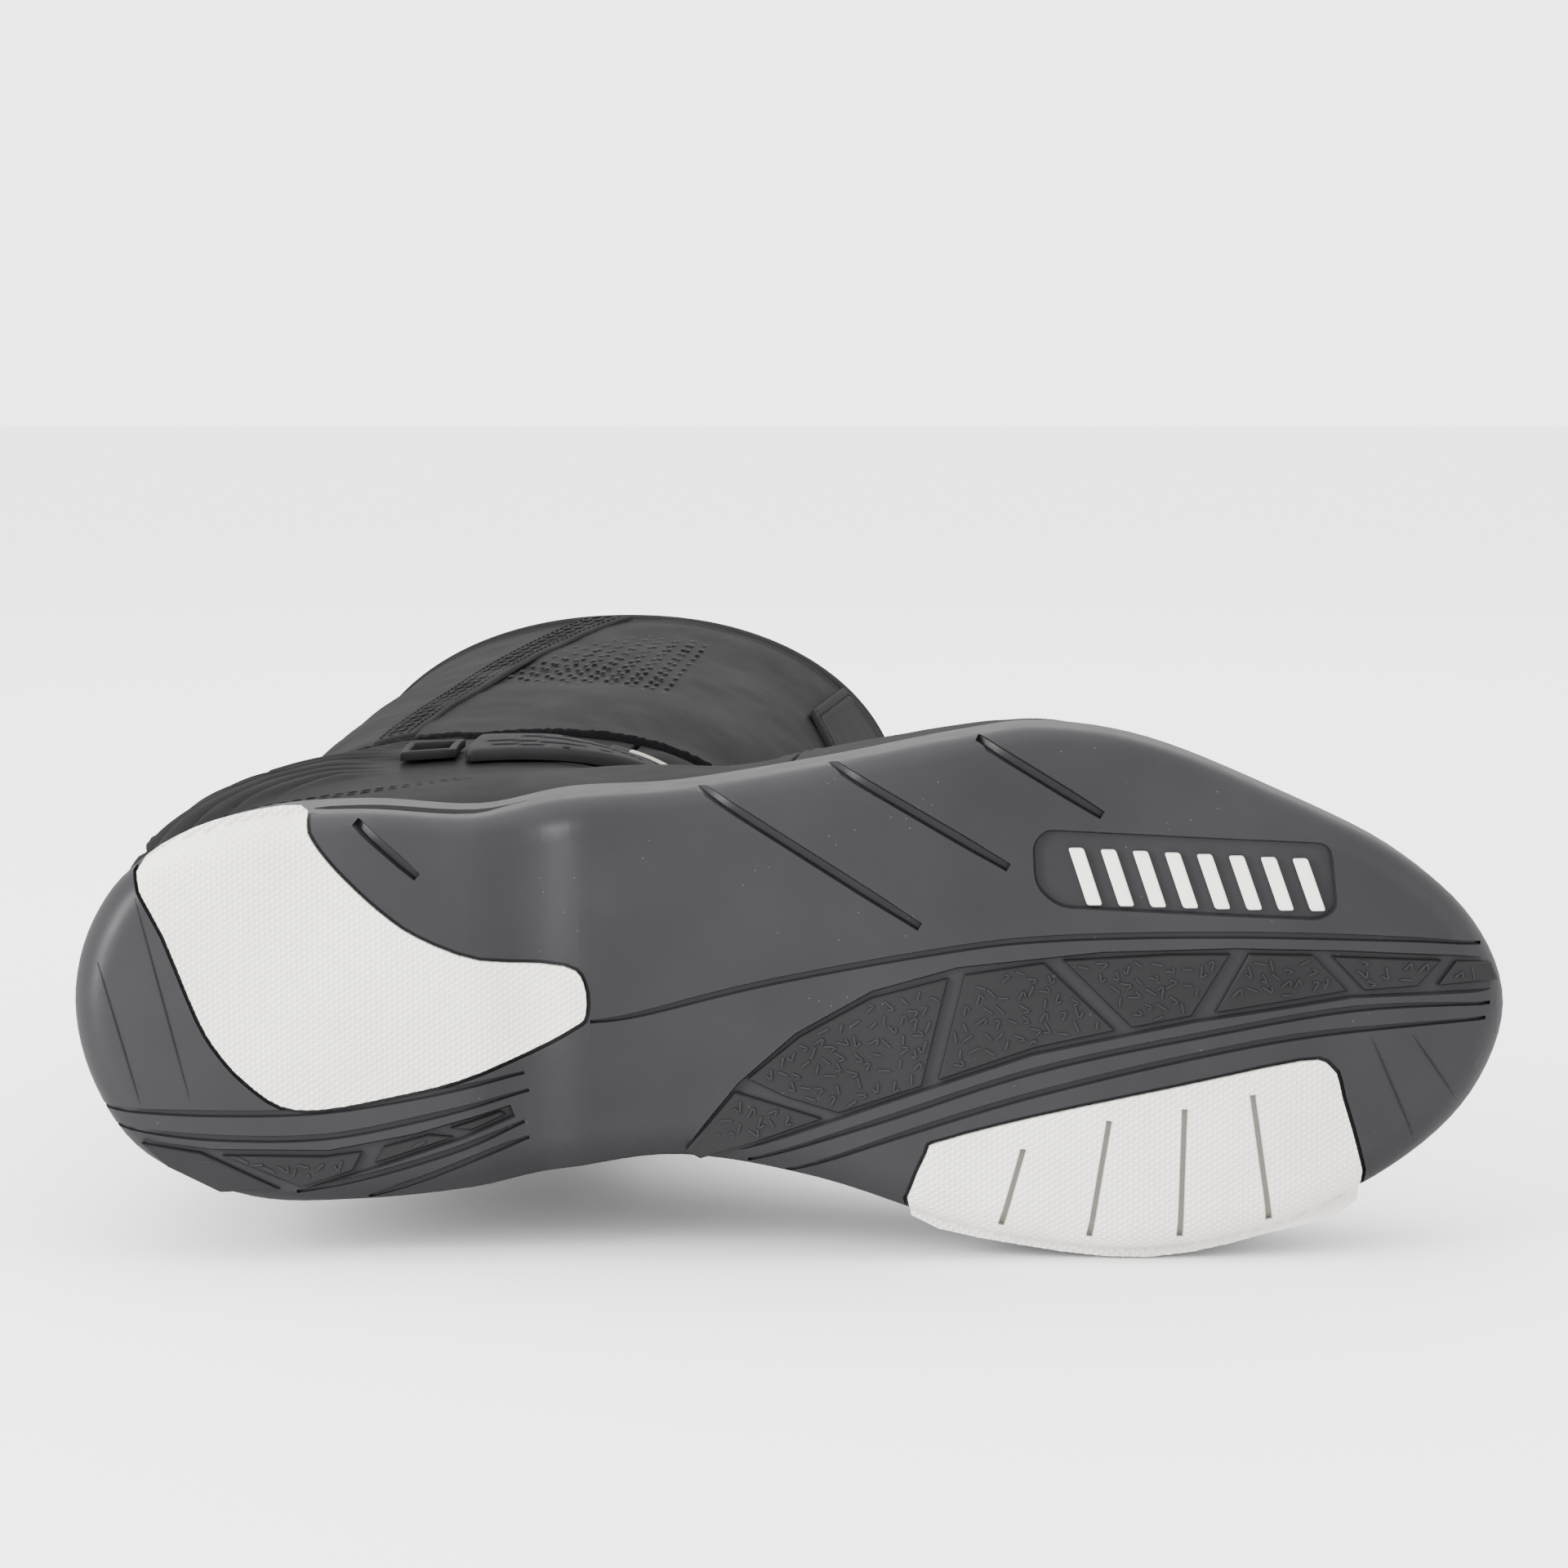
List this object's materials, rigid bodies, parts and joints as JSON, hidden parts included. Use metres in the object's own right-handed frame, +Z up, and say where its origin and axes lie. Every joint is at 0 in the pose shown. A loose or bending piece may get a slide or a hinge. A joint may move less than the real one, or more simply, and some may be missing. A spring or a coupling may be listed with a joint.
{
  "type": "riding boot",
  "caption": "Right motorcycle riding boot in black leather with a two-tone moulded sole, ribbed ankle, inner zip under a flap, and an outer ankle guard.",
  "frame": {"origin": "middle of the box's footprint on the floor, with the boot lying on its inner side", "axes": "+X from heel to toe, +Y from the sole to the leg opening, +Z up through the outer side"},
  "size_m": [0.3032, 0.3232, 0.1163],
  "materials": {
    "rubber": "moulded satin black-grey sole rubber",
    "pale_rubber": "cream grip rubber with a fine pyramid grid",
    "leather": "smooth black full-grain leather, slight sheen",
    "guard_plastic": "moulded charcoal plastic",
    "flex_leather": "soft black leather, ribbed and padded",
    "textile": "black knitted lining and zip tape",
    "pile": "black hook-and-loop pile",
    "foam": "light closed-cell foam",
    "board": "brown fibre board",
    "steel": "plain steel strip",
    "zip_metal": "black lacquered zip hardware",
    "badge": "silver-beige moulded trim"
  },
  "bodies": {
    "foot": {"outsole": "rubber", "midsole": "foam", "shank": "steel", "insole_board": "board", "footbed": "foam", "foot_lining": "textile", "toe_puff": "board", "heel_counter": "board", "toe_cap": "leather", "toe_overlay": "leather", "vamp": "leather", "vamp_welt": "leather", "instep_panel": "leather", "lateral_quarter": "leather", "medial_quarter": "leather", "heel_cover": "leather", "lateral_ankle_cup": "foam", "medial_ankle_cup": "foam", "ankle_guard": "guard_plastic", "guard_loop": "guard_plastic", "guard_badge": "badge", "front_bellows": "flex_leather", "lateral_gusset": "flex_leather", "medial_gusset": "flex_leather", "rear_bellows": "flex_leather", "ankle_lining": "textile", "ankle_flap": "leather", "heel_insert": "pale_rubber", "forefoot_insert": "pale_rubber", "sole_emblem": "pale_rubber"},
    "shaft": {"shaft_lining": "textile", "shin_panel": "leather", "lateral_panel": "leather", "calf_panel": "leather", "medial_front_panel": "leather", "medial_rear_panel": "leather", "front_zip_tape": "textile", "rear_zip_tape": "textile", "zip_chain": "zip_metal", "zip_bellows": "textile", "shin_pad": "foam", "shin_overlay": "leather", "calf_seam_band": "leather", "hook_patch": "pile", "collar": "flex_leather"},
    "flap": {"closure_flap": "leather", "loop_patch": "pile"},
    "slider": {"zip_slider": "zip_metal"},
    "pull": {"zip_pull": "zip_metal"}
  },
  "joints": [
    {"name": "ankle_flex", "type": "hinge", "parent": "foot", "child": "shaft", "pos_m": [-0.07954, -0.04962, 0.05546], "axis": [0, 0, -1], "range_deg": [-10, 15], "stiffness_Nm_per_rad": 4, "deforming": ["front_bellows", "lateral_gusset", "medial_gusset", "rear_bellows", "ankle_lining", "ankle_flap"]},
    {"name": "flap_hinge", "type": "hinge", "parent": "shaft", "child": "flap", "pos_m": [-0.10611, 0.07006, 0.01341], "axis": [0.1213, 0.9924, -0.0187], "range_deg": [0, 125]},
    {"name": "zip_slide", "type": "slide", "parent": "shaft", "child": "slider", "axis": [-0.1687, -0.9851, 0.0325], "range_m": [0, 0.11]},
    {"name": "zip_pull_swing", "type": "hinge", "parent": "slider", "child": "pull", "pos_m": [-0.04791, 0.14073, 0.00329], "axis": [0.9857, -0.1688, 0], "range_deg": [0, 75]}
  ],
  "couplings": [
    {"joint": "zip_pull_swing", "follows": "flap_hinge", "ratio": 0.6}
  ]
}
